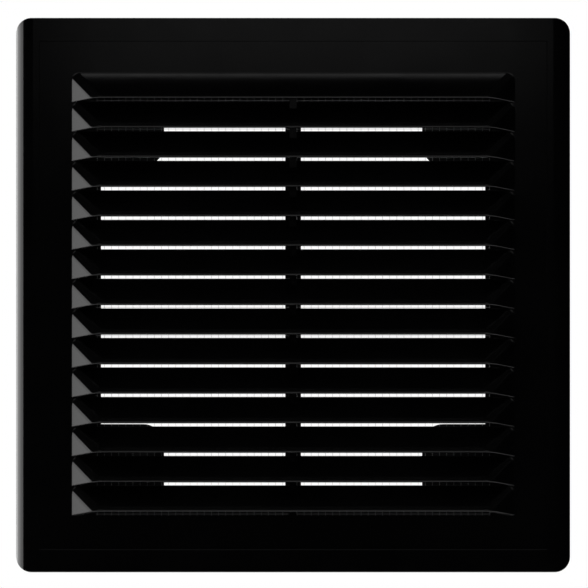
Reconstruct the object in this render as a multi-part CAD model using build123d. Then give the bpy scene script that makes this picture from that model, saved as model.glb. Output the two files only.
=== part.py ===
from build123d import *
import math
import os

# Louvred air grille, nominal 150 x 150 mm, in two clip-together mouldings with an insect net between them.
#
# Frame of the part: X to the right and Z up across the face, the louvres face -Y, and the wall is the
# plane y = 0. The origin is the centre of the wall plane, which is also the centre of the four screw holes.
# All lengths are in millimetres.

# ---------------------------------------------------------------- driving dimensions
SIZE = 150.2            # outside width and height
FACE = 9.0              # wall plane to the flat face of the grille
CORNER_R = 4.2          # corners of the outline
SIDE_R = 4.6            # rounding of the left and right long edges
SKIN = 2.0              # thickness of the frame's face and of its outer skirt

# seat of the louvre panel in the frame
SEAT = 68.85            # half width of the opening that the panel sits in
PANEL_GAP = 0.12        # clearance round the panel
PANEL_T = 2.0           # thickness of the panel's border plate
LEDGE_W = 2.0           # width of the ledge under the panel's edge
SEAT_PLAY = 0.1         # panel back to ledge
EDGE_R = 0.2            # broken edge along the bottom of the seat

# base plate behind the net
BASE_FRONT = 5.0        # wall plane to the front of the base plate
BASE_T = 2.0
OPENING = 52.1          # half width of the square duct opening
BAR_W = 4.25            # upright bar in the middle of the opening
BAR_BACK = 1.0          # wall plane to the back of the bar
PAD = 35.0              # inner edges of the corner pads, from the centre
HOLE_AT = 40.7          # screw holes, from the centre lines
HOLE_R = 2.1
SINK_R = 4.1            # countersink for the screw head
PAD_R = 5.7             # corner of each pad, concentric with its hole
BOSS_R = 4.8            # spacer boss behind each pad, down to the wall

# louvres
COUNT = 15
PITCH = 8.0
FIELD = 60.0            # half width of the louvre field at the face
TOP = 60.2              # top edge of the first hood
WALL = 1.0              # wall of a hood
HIP_R = 3.07            # rounding between a hood's slope and its ends
LIP_R = 0.35            # rounding of the hood's lip
FOOT_R = 0.48           # hollow rounding where a hood meets the face
RISE = FOOT_R * 0.414   # the root of a hood stands this far above its top edge, up to the end of that rounding
SLOT = 1.06             # free height from a lip to the next hood
WINDOW = 53.5           # half width of the window behind the hoods
WEB_T = 1.2             # web at the root of each hood
RIB_W = 2.0             # upright rib at mid-width
RIB_FRONT = 1.65        # rib's front edge, in front of the face

# insect net and its studs
NET_T = 0.2
NET_X = 57.5
NET_Z = 64.0
STUD_X = 55.7
STUD_Z = 62.1
STUD_R = 0.8
STUD_HEAD_R = 1.6
STUD_HEAD_T = 0.6

# snap hooks
HOOK_Z = 30.0           # height of the hooks above and below mid-height
HOOK_W = 8.0
HOOK_IN = 64.6          # inner face of the arm, from the centre
HOOK_T = 1.4
BARB = 0.8
SLOT_IN = 63.0          # slot in the base plate, from the centre
SLOT_OUT = 66.3
SLOT_W = 9.0

os.makedirs("parts", exist_ok=True)


def box(x0, x1, y0, y1, z0, z1):
    """Box between two corners."""
    return Pos((x0 + x1) / 2, (y0 + y1) / 2, (z0 + z1) / 2) * Box(abs(x1 - x0), abs(y1 - y0), abs(z1 - z0))


def rounded_slab(half_x, half_z, r, y0, y1):
    """Rounded rectangle in the XZ plane, from y0 to y1."""
    sk = RectangleRounded(2 * half_x, 2 * half_z, r)
    solid = extrude(sk, amount=abs(y1 - y0))
    # the sketch's normal is turned from +Z to -Y
    return Pos(0, max(y0, y1), 0) * Rot(90, 0, 0) * solid


def cylinder_y(x, z, r, y0, y1):
    """Cylinder along Y."""
    return Pos(x, (y0 + y1) / 2, z) * Rot(90, 0, 0) * Cylinder(r, abs(y1 - y0))


def prism_x(points, x0, x1):
    """Polygon of (y, z) points, extruded along X from x0 to x1."""
    face = make_face(Polyline(*[(x0, y, z) for y, z in points], close=True))
    return extrude(face, amount=x1 - x0, dir=(1, 0, 0))


def prism_z(points, z0, z1):
    """Polygon of (x, y) points, extruded along Z from z0 to z1."""
    face = make_face(Polyline(*[(x, y, z0) for x, y in points], close=True))
    return extrude(face, amount=z1 - z0, dir=(0, 0, 1))


def only(shape):
    """The single solid of a shape."""
    solids = shape.solids()
    assert len(solids) == 1, len(solids)
    return solids[0]


# ---------------------------------------------------------------- mounting frame
H = SIZE / 2
yf = -FACE

# outside: rounded square in plan, with the front left and right edges rounded along their whole height
outer = rounded_slab(H, H, CORNER_R, 0, yf)
section = box(-H, H, yf, 0, -H, H)
section = fillet(
    section.edges().filter_by(Axis.Z).group_by(Axis.Y)[0], SIDE_R
)
outer = outer & section

frame = outer
# hollow back between the skirt and the wall round the panel seat
channel = rounded_slab(H - SKIN, H - SKIN, CORNER_R - SKIN, 0.5, yf + SKIN)
keep = box(-(SEAT + LEDGE_W), SEAT + LEDGE_W, yf, 0, -(SEAT + LEDGE_W), SEAT + LEDGE_W)
frame = frame - (channel - keep)
# seat for the panel, then the well down to the base plate
frame = frame - box(-SEAT, SEAT, yf - 1, yf + PANEL_T + SEAT_PLAY, -SEAT, SEAT)
WELL = SEAT - LEDGE_W
frame = frame - box(-WELL, WELL, yf, -BASE_FRONT, -WELL, WELL)
# space behind the base plate
frame = frame - box(-(SEAT + LEDGE_W), SEAT + LEDGE_W, -(BASE_FRONT - BASE_T), 0.5, -(SEAT + LEDGE_W), SEAT + LEDGE_W)

# duct opening, with corner pads and the upright bar left in
hole = box(-OPENING, OPENING, -BASE_FRONT - 1, 0.5, -OPENING, OPENING)
for sx in (-1, 1):
    for sz in (-1, 1):
        pad = box(sx * PAD, sx * (OPENING + 5), -BASE_FRONT - 2, 1, sz * PAD, sz * (OPENING + 5))
        inner = [
            e for e in pad.edges().filter_by(Axis.Y)
            if abs(abs(e.center().X) - PAD) < 1e-6 and abs(abs(e.center().Z) - PAD) < 1e-6
        ]
        hole = hole - fillet(inner, PAD_R)
hole = hole - box(-BAR_W / 2, BAR_W / 2, -BASE_FRONT - 2, 1, -OPENING, OPENING)
frame = frame - hole
# the bar is deeper than the plate, to stiffen it
frame = frame + box(-BAR_W / 2, BAR_W / 2, -BASE_FRONT, -BAR_BACK, -OPENING - 3, OPENING + 3)

# rim round the duct opening's back, spacer bosses and screw holes
for sx in (-1, 1):
    for sz in (-1, 1):
        x, z = sx * HOLE_AT, sz * HOLE_AT
        frame = frame + cylinder_y(x, z, BOSS_R, -(BASE_FRONT - BASE_T) - 0.5, 0)
        frame = frame - cylinder_y(x, z, HOLE_R, -BASE_FRONT - 1, 1)
        sink = Pos(x, -BASE_FRONT + (SINK_R - HOLE_R) / 2, z) * Rot(90, 0, 0) * Cone(
            HOLE_R, SINK_R, SINK_R - HOLE_R
        )
        frame = frame - sink

# slots for the snap hooks
for sx in (-1, 1):
    for sz in (-1, 1):
        frame = frame - box(
            sx * SLOT_IN, sx * SLOT_OUT, -BASE_FRONT - 1, 0,
            sz * HOOK_Z - SLOT_W / 2, sz * HOOK_Z + SLOT_W / 2,
        )

# struts across the hollow rim, from the skirt to the wall round the seat
for s in (-1, 1):
    for t in (-45.0, -15.0, 15.0, 45.0):
        a, b = SEAT + LEDGE_W - 0.4, H - SKIN + 0.4
        frame = frame + box(s * a, s * b, yf + SKIN - 0.3, -1.5, t - 0.5, t + 0.5)
        frame = frame + box(t - 0.5, t + 0.5, yf + SKIN - 0.3, -1.5, s * a, s * b)

# broken edge along the bottom of the seat, where the panel is prised out
rim = [
    e for e in frame.edges().filter_by(lambda e: abs(e.center().Y - yf) < 1e-6)
    if abs(e.center().Z + SEAT) < 1e-3 and abs(e.center().X) < 1e-3
]
print("frame rim edges", len(rim))
frame = fillet(rim, EDGE_R)
mounting_frame = only(frame)

# ---------------------------------------------------------------- panel border
P = SEAT - PANEL_GAP
BOTTOM = TOP - COUNT * PITCH
plate = box(-P, P, yf, yf + PANEL_T, -P, P)
plate = plate - box(-WINDOW, WINDOW, yf - 1, yf + PANEL_T + 1, BOTTOM, TOP)
panel_border = only(plate)

# ---------------------------------------------------------------- louvres
# Section of a hood, with u down from its top edge and d out from the face: the slope is d = u, and the
# mouth runs from (d = 0, u = PITCH) to the lip.
off = WALL * math.sqrt(2)
# the lowest point of the wall is on its inner face; the mouth line passes through it and (0, PITCH)
low_u = PITCH - SLOT
low_d = low_u - off
mouth = SLOT / low_d                      # fall of the mouth line per unit of d
lip = PITCH / (1 + mouth)                 # the lip's reach, where the slope meets the mouth line
print(f"lip reach {lip:.3f}, lowest point d={low_d:.3f} u={low_u:.3f}, mouth slope {mouth:.4f}")


def hip_block(shift, r):
    """Everything under a hood's slope and end planes, set in by shift, with rounded hips."""
    lo, hi = -4.0, 12.0
    # (y, z) with y = yf - d and z = -u
    slope = prism_x(
        [(yf - lo, -(lo + shift)), (yf - lo, -20.0), (yf - hi, -20.0), (yf - hi, -(hi + shift))],
        -FIELD - 10, FIELD + 10,
    )
    w0, w1 = FIELD - shift - lo, FIELD - shift - hi
    ends = prism_z([(-w0, yf - lo), (w0, yf - lo), (w1, yf - hi), (-w1, yf - hi)], -24.0, 8.0)
    block = slope & ends
    hips = []
    for e in block.edges():
        p, q = e.position_at(0), e.position_at(1)
        dx, dy, dz = abs(p.X - q.X), abs(p.Y - q.Y), abs(p.Z - q.Z)
        if min(dx, dy, dz) > 5 and abs(dx - dz) < 1e-3:
            hips.append(e)
    assert len(hips) == 2, len(hips)
    return fillet(hips, r)


def foot_flare():
    """The hollow rounding round a hood's foot, on its own."""
    block = hip_block(0, HIP_R)
    front = block & box(-FIELD - 5, FIELD + 5, yf - 20, yf, -20, 8)
    # made against a slab that stands for the face and is then cut off
    body = front + box(-FIELD - 10, FIELD + 10, yf, yf + 1, -20, 6)
    feet = []
    for e in body.edges():
        m = e.position_at(0.5)
        if abs(m.Y - yf) < 1e-5 and abs(m.X) < FIELD + 0.01 and -19.9 < m.Z < 5.9:
            feet.append(e)
    assert len(feet) == 5, len(feet)
    body = fillet(feet, FOOT_R)
    # its lower ends are level with the mouth's
    body = body & box(-FIELD - 5, FIELD + 5, yf - 20, yf, -PITCH + LIP_R, 8)
    return body


def hood(rise):
    """One louvre with its top edge at z = 0, its root going up to z = rise."""
    body = hip_block(0, HIP_R)
    # in front of the face, and above the mouth plane
    keep = prism_x(
        [(yf, 0.5), (yf, -PITCH), (yf - 10, -PITCH + 10 * mouth), (yf - 10, 0.5)],
        -FIELD - 1, FIELD + 1,
    )
    body = body & keep
    lips = []
    for e in body.edges():
        m = e.position_at(0.5)
        d, u = yf - m.Y, -m.Z
        if d > 0.5 and abs(u - (PITCH - mouth * d)) < 1e-4:
            lips.append(e)
    body = fillet(lips, LIP_R)
    near = box(-FIELD - 5, FIELD + 5, yf - 0.4, yf, -20, 8)
    body = body + (foot_flare() & near)
    body = body - hip_block(off, HIP_R - WALL)
    # the web stays under the slope where it crosses the face
    web = box(-WINDOW, WINDOW, yf - 0.3, yf + PANEL_T, -WEB_T, rise)
    web = web & prism_x([(yf + 5, 2), (yf, 2), (yf, 0), (yf - 1, -1), (yf - 1, -5), (yf + 5, -5)], -FIELD, FIELD)
    return body + web


first, one = hood(0.0), hood(RISE)
print("hood solids", len(one.solids()), "volume", one.volume)
rib = box(-RIB_W / 2, RIB_W / 2, yf - RIB_FRONT, yf + PANEL_T, BOTTOM, TOP - WEB_T - 0.6)
# the rib ends under the first hood
rib = rib & (Pos(0, 0, TOP) * prism_x(
    [(yf + 5, -WEB_T), (yf, -WEB_T - (off - WEB_T)), (yf - 4, -off - 4), (yf - 4, -130), (yf + 5, -130)],
    -5, 5,
))
rib = only(rib)

louvres = []
for k in range(COUNT):
    z = TOP - k * PITCH
    lv = Pos(0, 0, z) * (one if k else first)
    if k > 0:
        lv = lv - box(-RIB_W / 2, RIB_W / 2, yf - RIB_FRONT, yf + PANEL_T + 1, z - 20, z + 20)
    louvres.append(only(lv))

# ---------------------------------------------------------------- snap hooks
yb = yf + PANEL_T                          # back of the panel
ycatch = -(BASE_FRONT - BASE_T) + 0.1      # just behind the base plate
hooks = []
for sx in (-1, 1):
    for sz in (-1, 1):
        a, b = HOOK_IN, HOOK_IN + HOOK_T
        pts = [
            (a, yb), (b, yb), (b, ycatch), (b + BARB, ycatch), (b + BARB, ycatch + 0.35),
            (b - 0.35, ycatch + 1.75), (a, ycatch + 1.75),
        ]
        hook = prism_z([(sx * x, y) for x, y in pts], sz * HOOK_Z - HOOK_W / 2, sz * HOOK_Z + HOOK_W / 2)
        # gusset on the arm's inner side
        rib_pts = [(a, yb), (a - 1.4, yb), (a, yb + 1.9)]
        for zc in (-2.2, 2.2):
            hook = hook + prism_z(
                [(sx * x, y) for x, y in rib_pts], sz * HOOK_Z + zc - 0.5, sz * HOOK_Z + zc + 0.5
            )
        hooks.append(only(hook))
snap_hooks = Compound(children=hooks)

# ---------------------------------------------------------------- insect net and its studs
net = box(-NET_X, NET_X, yb, yb + NET_T, -NET_Z, NET_Z)
spots = []
for s in (-1, 1):
    for t in (-56.0, -19.0, 19.0, 56.0):
        spots.append((s * STUD_X, t))
    for t in (-37.0, 0.0, 37.0):
        spots.append((t, s * STUD_Z))
studs = []
for x, z in spots:
    net = net - cylinder_y(x, z, STUD_R + 0.05, yb - 1, yb + 1)
    pin = cylinder_y(x, z, STUD_R, yb, yb + NET_T + 0.2)
    head = cylinder_y(x, z, STUD_HEAD_R, yb + NET_T, yb + NET_T + STUD_HEAD_T)
    head = fillet(head.edges().group_by(Axis.Y)[-1], 0.4)
    studs.append(only(pin + head))
insect_net = only(net)
net_studs = Compound(children=studs)

# ---------------------------------------------------------------- files
nodes = {
    "mounting_frame": mounting_frame,
    "panel_border": panel_border,
    "centre_rib": rib,
    "snap_hooks": snap_hooks,
    "insect_net": insect_net,
    "net_studs": net_studs,
}
for k, lv in enumerate(louvres):
    nodes[f"louvre_{k + 1:02d}"] = lv

for name, shape in nodes.items():
    export_step(shape, f"parts/{name}.step")
    bb = shape.bounding_box()
    print(name, len(shape.solids()), round(shape.volume, 1), [round(v, 2) for v in (*bb.min, *bb.max)])
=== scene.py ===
import math

import bpy
import numpy as np
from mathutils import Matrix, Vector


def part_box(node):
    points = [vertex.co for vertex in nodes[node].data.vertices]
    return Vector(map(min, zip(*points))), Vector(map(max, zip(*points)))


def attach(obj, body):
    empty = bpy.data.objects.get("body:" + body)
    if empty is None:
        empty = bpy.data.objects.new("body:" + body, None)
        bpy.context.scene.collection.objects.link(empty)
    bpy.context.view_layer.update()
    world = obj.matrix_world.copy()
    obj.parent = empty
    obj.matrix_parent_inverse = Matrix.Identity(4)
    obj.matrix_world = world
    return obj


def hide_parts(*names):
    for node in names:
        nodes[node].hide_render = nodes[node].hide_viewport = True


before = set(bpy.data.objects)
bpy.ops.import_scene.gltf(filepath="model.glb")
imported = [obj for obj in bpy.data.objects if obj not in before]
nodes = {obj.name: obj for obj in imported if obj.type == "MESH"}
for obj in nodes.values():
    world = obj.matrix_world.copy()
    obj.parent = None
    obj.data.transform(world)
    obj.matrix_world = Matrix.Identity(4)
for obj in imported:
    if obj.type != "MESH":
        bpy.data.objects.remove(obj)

RAD = math.radians
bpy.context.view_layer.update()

# ---------------------------------------------------------------- small helpers


def new_material(name):
    m = bpy.data.materials.new(name)
    m.use_nodes = True
    nt = m.node_tree
    nt.nodes.clear()
    out = nt.nodes.new("ShaderNodeOutputMaterial")
    bsdf = nt.nodes.new("ShaderNodeBsdfPrincipled")
    nt.links.new(bsdf.outputs["BSDF"], out.inputs["Surface"])
    return m, nt, bsdf


def noise(nt, coords, scale, detail=2.0, rough=0.5):
    n = nt.nodes.new("ShaderNodeTexNoise")
    n.inputs["Scale"].default_value = scale
    n.inputs["Detail"].default_value = detail
    n.inputs["Roughness"].default_value = rough
    nt.links.new(coords, n.inputs["Vector"])
    return n.outputs["Fac"]


def remap(nt, fac, a, b, lo=0.3, hi=0.7):
    m = nt.nodes.new("ShaderNodeMapRange")
    m.inputs["From Min"].default_value = lo
    m.inputs["From Max"].default_value = hi
    m.inputs["To Min"].default_value = a
    m.inputs["To Max"].default_value = b
    nt.links.new(fac, m.inputs["Value"])
    return m.outputs["Result"]


def ramp(nt, fac, a, b):
    r = nt.nodes.new("ShaderNodeMix")
    r.data_type = "RGBA"
    r.inputs["A"].default_value = (*a, 1)
    r.inputs["B"].default_value = (*b, 1)
    nt.links.new(fac, r.inputs["Factor"])
    return r.outputs["Result"]


def bump(nt, height, distance, strength, below=None):
    b = nt.nodes.new("ShaderNodeBump")
    b.inputs["Distance"].default_value = distance
    b.inputs["Strength"].default_value = strength
    nt.links.new(height, b.inputs["Height"])
    if below is not None:
        nt.links.new(below, b.inputs["Normal"])
    return b.outputs["Normal"]


def object_coords(nt):
    return nt.nodes.new("ShaderNodeTexCoord").outputs["Object"]


# ---------------------------------------------------------------- materials


def black_abs(name, rough_lo, rough_hi, grain=0.0):
    """Gloss black moulded ABS: faint waviness of the mould's polish, slightly uneven gloss."""
    m, nt, bsdf = new_material(name)
    co = object_coords(nt)
    tone = remap(nt, noise(nt, co, 55.0, 3.0), 0.0, 1.0)
    nt.links.new(ramp(nt, tone, (0.0012, 0.0012, 0.0013), (0.0019, 0.0019, 0.0020)), bsdf.inputs["Base Color"])
    gloss = remap(nt, noise(nt, co, 90.0, 4.0, 0.6), rough_lo, rough_hi)
    nt.links.new(gloss, bsdf.inputs["Roughness"])
    bsdf.inputs["IOR"].default_value = 1.5
    normal = bump(nt, noise(nt, co, 260.0, 1.0), 0.00001, 0.25)
    if grain:
        normal = bump(nt, noise(nt, co, 5200.0, 2.0), 0.00001, grain, normal)
    nt.links.new(normal, bsdf.inputs["Normal"])
    return m


gloss_black = black_abs("black_abs_gloss", 0.1, 0.13)
back_black = black_abs("black_abs_back", 0.3, 0.4, 0.5)

thread, nt, bsdf = new_material("net_thread")
co = object_coords(nt)
tone = remap(nt, noise(nt, co, 900.0, 3.0), 0.0, 1.0)
nt.links.new(ramp(nt, tone, (0.58, 0.58, 0.585), (0.68, 0.68, 0.69)), bsdf.inputs["Base Color"])
nt.links.new(remap(nt, noise(nt, co, 4000.0, 2.0), 0.3, 0.42), bsdf.inputs["Roughness"])
nt.links.new(bump(nt, noise(nt, co, 30000.0, 2.0), 0.000005, 0.5), bsdf.inputs["Normal"])

# ---------------------------------------------------------------- carried-over CAD nodes
for name, o in nodes.items():
    o.data.materials.clear()
    o.data.materials.append(gloss_black)
    for p in o.data.polygons:
        p.use_smooth = True

# inside and at the back the mouldings keep a finer, duller texture than on their faces
for name in ("mounting_frame", "panel_border", "snap_hooks", "net_studs"):
    me = nodes[name].data
    me.materials.append(back_black)
    for p in me.polygons:
        c = p.center
        inside = name == "mounting_frame" and max(abs(c.x), abs(c.z)) < 0.0686 and c.y > -0.0088
        if inside or p.normal.y > 0.9 or name in ("snap_hooks", "net_studs"):
            p.material_index = 1

# ---------------------------------------------------------------- insect net
NET_Y = (-0.007, -0.0068)
net_lo, net_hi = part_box("insect_net")
MESH_P = 0.001933
THREAD_R = 0.00005
SWAY = 0.5 * (NET_Y[1] - NET_Y[0]) - THREAD_R


def woven_net():
    y_mid = 0.5 * (NET_Y[0] + NET_Y[1])
    ring = 6
    ang = [2 * math.pi * (i + 0.5) / ring for i in range(ring)]
    xs = [0.00008 + (i + 0.5) * MESH_P for i in range(-30, 30)]
    xs = [x for x in xs if net_lo.x + 2 * THREAD_R < x < net_hi.x - 2 * THREAD_R]
    z0 = 0.05274
    zs = [z0 - i * MESH_P for i in range(-6, 62)]
    zs = [z for z in zs if net_lo.z + 2 * THREAD_R < z < net_hi.z - 2 * THREAD_R]
    verts, faces = [], []

    def tube(points, u_axis):
        """points: centre line; u_axis: the in-plane direction across the thread."""
        base = len(verts)
        for p in points:
            for a in ang:
                v = list(p)
                v[u_axis] += THREAD_R * math.cos(a)
                v[1] += THREAD_R * math.sin(a)
                verts.append(v)
        n = len(points)
        for i in range(n - 1):
            for j in range(ring):
                k = (j + 1) % ring
                faces.append((base + i * ring + j, base + i * ring + k,
                              base + (i + 1) * ring + k, base + (i + 1) * ring + j))
        faces.append(tuple(base + j for j in range(ring))[::-1])
        faces.append(tuple(base + (n - 1) * ring + j for j in range(ring)))

    steps = 4
    for i, x in enumerate(xs):
        pts = []
        n = int((net_hi.z - net_lo.z) / MESH_P * steps)
        for s in range(n + 1):
            z = net_hi.z + (net_lo.z - net_hi.z) * s / n
            phase = math.pi * ((z0 - z) / MESH_P + i)
            pts.append([x, y_mid + SWAY * math.cos(phase), z])
        tube(pts, 0)
    for k, z in enumerate(zs):
        row = round((z0 - z) / MESH_P)
        pts = []
        n = int((net_hi.x - net_lo.x) / MESH_P * steps)
        for s in range(n + 1):
            x = net_lo.x + (net_hi.x - net_lo.x) * s / n
            phase = math.pi * ((x - xs[0]) / MESH_P + row)
            pts.append([x, y_mid - SWAY * math.cos(phase), z])
        tube(pts, 2)
    me = bpy.data.meshes.new("net_threads")
    me.from_pydata(verts, [], faces)
    me.validate()
    for p in me.polygons:
        p.use_smooth = True
    me.materials.append(thread)
    o = bpy.data.objects.new("net_threads", me)
    bpy.context.scene.collection.objects.link(o)
    return o


net = woven_net()
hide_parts("insect_net")
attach(net, "louvre_panel")

# ---------------------------------------------------------------- studio
floor_m, nt, bsdf = new_material("studio_floor")
co = object_coords(nt)
tone = remap(nt, noise(nt, co, 3.0, 4.0), 0.0, 1.0)
nt.links.new(ramp(nt, tone, (0.80, 0.80, 0.80), (0.86, 0.86, 0.86)), bsdf.inputs["Base Color"])
bsdf.inputs["Roughness"].default_value = 0.9
# away from the object the floor runs out into the white background; as a light source it is smaller


def floor_ramp(value, a, b):
    n = floor_m.node_tree.nodes.new("ShaderNodeMapRange")
    n.interpolation_type = "SMOOTHSTEP"
    n.inputs["From Min"].default_value = a
    n.inputs["From Max"].default_value = b
    floor_m.node_tree.links.new(value, n.inputs["Value"])
    return n.outputs["Result"]


def floor_math(op, a, b=None):
    n = floor_m.node_tree.nodes.new("ShaderNodeMath")
    n.operation = op
    for i, v in enumerate((a, b)):
        if isinstance(v, float):
            n.inputs[i].default_value = v
        elif v is not None:
            floor_m.node_tree.links.new(v, n.inputs[i])
    return n.outputs[0]


far = nt.nodes.new("ShaderNodeVectorMath")
far.operation = "LENGTH"
nt.links.new(co, far.inputs[0])
split = nt.nodes.new("ShaderNodeSeparateXYZ")
nt.links.new(co, split.inputs[0])
path = nt.nodes.new("ShaderNodeLightPath")
seen = floor_ramp(far.outputs["Value"], 0.6, 1.35)
lit = floor_math("MAXIMUM", floor_ramp(floor_math("MULTIPLY", split.outputs["Y"], -1.0), 0.75, 0.95),
                 floor_ramp(floor_math("ABSOLUTE", split.outputs["X"]), 1.0, 1.3))
fade = nt.nodes.new("ShaderNodeMix")
nt.links.new(path.outputs["Is Camera Ray"], fade.inputs["Factor"])
nt.links.new(lit, fade.inputs["A"])
nt.links.new(seen, fade.inputs["B"])
white = nt.nodes.new("ShaderNodeEmission")
nt.links.new(path.outputs["Is Camera Ray"], white.inputs["Strength"])
mix = nt.nodes.new("ShaderNodeMixShader")
nt.links.new(fade.outputs["Result"], mix.inputs["Fac"])
nt.links.new(bsdf.outputs["BSDF"], mix.inputs[1])
nt.links.new(white.outputs["Emission"], mix.inputs[2])
out = next(n for n in nt.nodes if n.type == "OUTPUT_MATERIAL")
nt.links.new(mix.outputs["Shader"], out.inputs["Surface"])

FLOOR_Z = -0.28
me = bpy.data.meshes.new("floor")
fs = 2.4
me.from_pydata([(-fs, -fs, 0), (fs, -fs, 0), (fs, fs, 0), (-fs, fs, 0)], [], [(0, 1, 2, 3)])
me.materials.append(floor_m)
floor = bpy.data.objects.new("floor", me)
floor.location = (0, 0, FLOOR_Z)
bpy.context.scene.collection.objects.link(floor)


def area(name, loc, rot, size, size_y, radiance, shine=True):
    li = bpy.data.lights.new(name, "AREA")
    li.shape = "RECTANGLE"
    li.size = size
    li.size_y = size_y
    li.energy = radiance * math.pi * size * size_y
    ob = bpy.data.objects.new(name, li)
    ob.location = loc
    ob.rotation_euler = rot
    ob.visible_camera = False
    ob.visible_glossy = shine
    bpy.context.scene.collection.objects.link(ob)
    return ob


# row of tall soft boxes on the left, from in front of the face to well behind it
for i, (ya, yb, top, level) in enumerate([
    (-0.345, -0.12, 0.33, 1.9), (-0.12, 0.06, 0.33, 2.12), (0.06, 0.7, 1.0, 2.8), (0.7, 1.8, 1.0, 3.3),
]):
    area(f"left_box_{i}", (-1.0, (ya + yb) / 2, (top - 1.0) / 2), (0, RAD(-90), 0), top + 1.0, yb - ya, level)
# small lamp in front, a little above the camera's axis, brighter in its middle
area("front_lamp", (0.003, -1.0, 0.15), (RAD(90 - 8), 0, 0), 0.15, 0.17, 0.2)
area("front_lamp_core", (0, -1.0, 0.15), (RAD(90 - 8), 0, 0), 0.075, 0.17, 0.15)
# narrow light close above the grille, in line with its face
area("top_strip", (0, -0.0092, 0.085), (0, 0, 0), 0.3, 0.001, 0.55)
# narrow beam on the frame's right side, which shows only where that side is seen square on
side_strip = area("side_strip", (0.12, -0.00125, -0.0023), (0, RAD(93), 0), 0.17, 0.0085, 0.0015)
side_strip.data.spread = RAD(8)
# large soft light high behind, which lights the floor and the back
area("back_top", (0, 1.0, 1.0), (RAD(-45), 0, 0), 1.0, 1.0, 3.0)

# fill light for the floor and the net, too diffuse to show in the gloss
area("floor_fill", (0, -0.8, 1.8), (0, 0, 0), 1.6, 1.2, 1.6, False)
area("net_fill", (0, -2.2, -0.1), (RAD(90), 0, 0), 1.0, 0.2, 5.0, False)

world = bpy.data.worlds.new("studio")
world.use_nodes = True
wt = world.node_tree
wt.nodes.clear()


def wmath(op, a, b=None):
    n = wt.nodes.new("ShaderNodeMath")
    n.operation = op
    for i, v in enumerate((a, b)):
        if v is None:
            continue
        if isinstance(v, (int, float)):
            n.inputs[i].default_value = v
        else:
            wt.links.new(v, n.inputs[i])
    return n.outputs[0]


def wsmooth(value, a, b):
    """0 at a, 1 at b, smooth between; a may be above b."""
    n = wt.nodes.new("ShaderNodeMapRange")
    n.interpolation_type = "SMOOTHSTEP"
    flip = a > b
    n.inputs["From Min"].default_value = min(a, b)
    n.inputs["From Max"].default_value = max(a, b)
    n.inputs["To Min"].default_value = 1.0 if flip else 0.0
    n.inputs["To Max"].default_value = 0.0 if flip else 1.0
    wt.links.new(value, n.inputs["Value"])
    return n.outputs["Result"]


sep = wt.nodes.new("ShaderNodeSeparateXYZ")
wt.links.new(wt.nodes.new("ShaderNodeTexCoord").outputs["Generated"], sep.inputs[0])
wx, wy, wz = sep.outputs
# dim overhead screen in front, fading towards the zenith
grad = wt.nodes.new("ShaderNodeValToRGB")
grad.color_ramp.interpolation = "EASE"
stops = [(0.10, 0.0), (0.18, 0.26), (0.45, 0.19), (0.60, 0.17), (0.73, 0.11), (0.85, 0.05), (0.94, 0.012), (1.0, 0.0)]
while len(grad.color_ramp.elements) < len(stops):
    grad.color_ramp.elements.new(0.5)
for e, (p, v) in zip(grad.color_ramp.elements, stops):
    e.position = p
    e.color = (v, v, v, 1)
wt.links.new(wz, grad.inputs["Fac"])
front = wmath("MULTIPLY", grad.outputs["Color"], wsmooth(wy, 0.05, -0.12))
front = wmath("MULTIPLY", front, wsmooth(wmath("ABSOLUTE", wx), 0.55, 0.2))
# dim sky high behind
rear = wmath("MULTIPLY", wsmooth(wy, 0.15, 0.5), wsmooth(wz, 0.3, 0.65))
rear = wmath("MULTIPLY", rear, 0.3)
# soft glow on both sides, high in front: it shows in the hoods from oblique views only
glow = wmath("ADD", wmath("MULTIPLY", wmath("ABSOLUTE", wx), 0.45), wmath("MULTIPLY", wz, 0.61))
glow = wmath("ADD", glow, wmath("MULTIPLY", wy, -0.65))
glow = wmath("MULTIPLY", wsmooth(glow, 0.945, 0.985), 0.4)
# and a small one lower at the side, for the hoods in three-quarter views
spot = wmath("ADD", wmath("MULTIPLY", wmath("ABSOLUTE", wx), 0.6413), wmath("MULTIPLY", wz, 0.6413))
spot = wmath("ADD", spot, wmath("MULTIPLY", wy, -0.4208))
glow = wmath("ADD", glow, wmath("MULTIPLY", wsmooth(spot, 0.9962, 0.999), 0.5))
room = wmath("ADD", wmath("ADD", wmath("ADD", front, rear), glow), 0.0003)
# white behind the object as the camera sees it
path = wt.nodes.new("ShaderNodeLightPath")
pick = wt.nodes.new("ShaderNodeMix")
pick.data_type = "FLOAT"
wt.links.new(path.outputs["Is Camera Ray"], pick.inputs["Factor"])
wt.links.new(room, pick.inputs["A"])
pick.inputs["B"].default_value = 1.0
w_bg = wt.nodes.new("ShaderNodeBackground")
w_bg.inputs["Color"].default_value = (1, 1, 1, 1)
wt.links.new(pick.outputs["Result"], w_bg.inputs["Strength"])
w_out = wt.nodes.new("ShaderNodeOutputWorld")
wt.links.new(w_bg.outputs["Background"], w_out.inputs["Surface"])

scene = bpy.context.scene
scene.world = world
scene.view_settings.view_transform = "Standard"
scene.view_settings.look = "None"

# very long lens, square on to the face, from far away
cam = bpy.data.cameras.new("camera")
cam.sensor_width = 36.0
cam.lens = 1400.0
cam.clip_start = 0.1
cam.clip_end = 30
camera = bpy.data.objects.new("camera", cam)
camera.location = (0.00024, -0.007 - 0.1594 * 1400.0 / 36.0, 0.000285)
camera.rotation_euler = (RAD(90), 0, 0)
scene.collection.objects.link(camera)
scene.camera = camera
